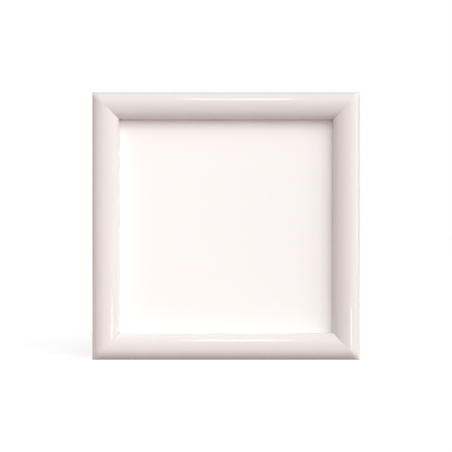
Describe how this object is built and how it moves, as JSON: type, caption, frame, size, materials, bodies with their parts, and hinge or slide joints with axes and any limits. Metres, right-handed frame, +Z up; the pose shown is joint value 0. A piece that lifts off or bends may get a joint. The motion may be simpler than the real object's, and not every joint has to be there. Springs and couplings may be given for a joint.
{
  "type": "picture frame",
  "caption": "Square easel-back picture frame with a glossy white half-round moulding, a blank card, turn buttons and a hinged strut.",
  "frame": {"origin": "middle of the flat bottom edge that the frame stands on, at mid width and mid depth of that flat", "axes": "+X to the right as seen from the front, -Y out of the front towards the viewer, +Z up"},
  "size_m": [0.21, 0.0251, 0.21],
  "materials": {
    "white_gloss_moulding": "gloss",
    "white_card": "matte",
    "hardboard": "matte",
    "nickel_plated_steel": "polished",
    "zinc_plated_steel": "satin",
    "bright_steel": "satin"
  },
  "bodies": {
    "frame": {"bottom_rail": "white_gloss_moulding", "left_rail": "white_gloss_moulding", "top_rail": "white_gloss_moulding", "right_rail": "white_gloss_moulding", "vnail_bottom_left_outer": "bright_steel", "vnail_bottom_left_inner": "bright_steel", "vnail_top_left_outer": "bright_steel", "vnail_top_left_inner": "bright_steel", "vnail_top_right_outer": "bright_steel", "vnail_top_right_inner": "bright_steel", "vnail_bottom_right_outer": "bright_steel", "vnail_bottom_right_inner": "bright_steel", "insert_card": "white_card", "backing_board": "hardboard", "button_screw_left_lower": "nickel_plated_steel", "button_screw_left_upper": "nickel_plated_steel", "button_screw_right_lower": "nickel_plated_steel", "button_screw_right_upper": "nickel_plated_steel", "strut_hinge_bracket": "nickel_plated_steel", "strut_hinge_pin": "nickel_plated_steel", "bracket_rivet_lower": "nickel_plated_steel", "bracket_rivet_upper": "nickel_plated_steel", "sawtooth_hanger": "zinc_plated_steel", "hanger_nail_left": "zinc_plated_steel", "hanger_nail_right": "zinc_plated_steel"},
    "strut": {"strut_hinge_leaf": "nickel_plated_steel", "strut_board": "hardboard", "leaf_rivet_lower": "nickel_plated_steel", "leaf_rivet_upper": "nickel_plated_steel"},
    "button_left_lower": {"turn_button_left_lower": "nickel_plated_steel"},
    "button_left_upper": {"turn_button_left_upper": "nickel_plated_steel"},
    "button_right_lower": {"turn_button_right_lower": "nickel_plated_steel"},
    "button_right_upper": {"turn_button_right_upper": "nickel_plated_steel"}
  },
  "joints": [
    {"name": "strut_swing", "type": "hinge", "parent": "frame", "child": "strut", "pos_m": [0, 0.0085, 0.15], "axis": [1, 0, 0], "range_deg": [0, 30]},
    {"name": "button_left_lower_turn", "type": "hinge", "parent": "frame", "child": "button_left_lower", "pos_m": [-0.098, 0.0061, 0.06], "axis": [0, 1, 0], "continuous": true},
    {"name": "button_left_upper_turn", "type": "hinge", "parent": "frame", "child": "button_left_upper", "pos_m": [-0.098, 0.0061, 0.15], "axis": [0, 1, 0], "continuous": true},
    {"name": "button_right_lower_turn", "type": "hinge", "parent": "frame", "child": "button_right_lower", "pos_m": [0.098, 0.0061, 0.06], "axis": [0, 1, 0], "continuous": true},
    {"name": "button_right_upper_turn", "type": "hinge", "parent": "frame", "child": "button_right_upper", "pos_m": [0.098, 0.0061, 0.15], "axis": [0, 1, 0], "continuous": true}
  ]
}
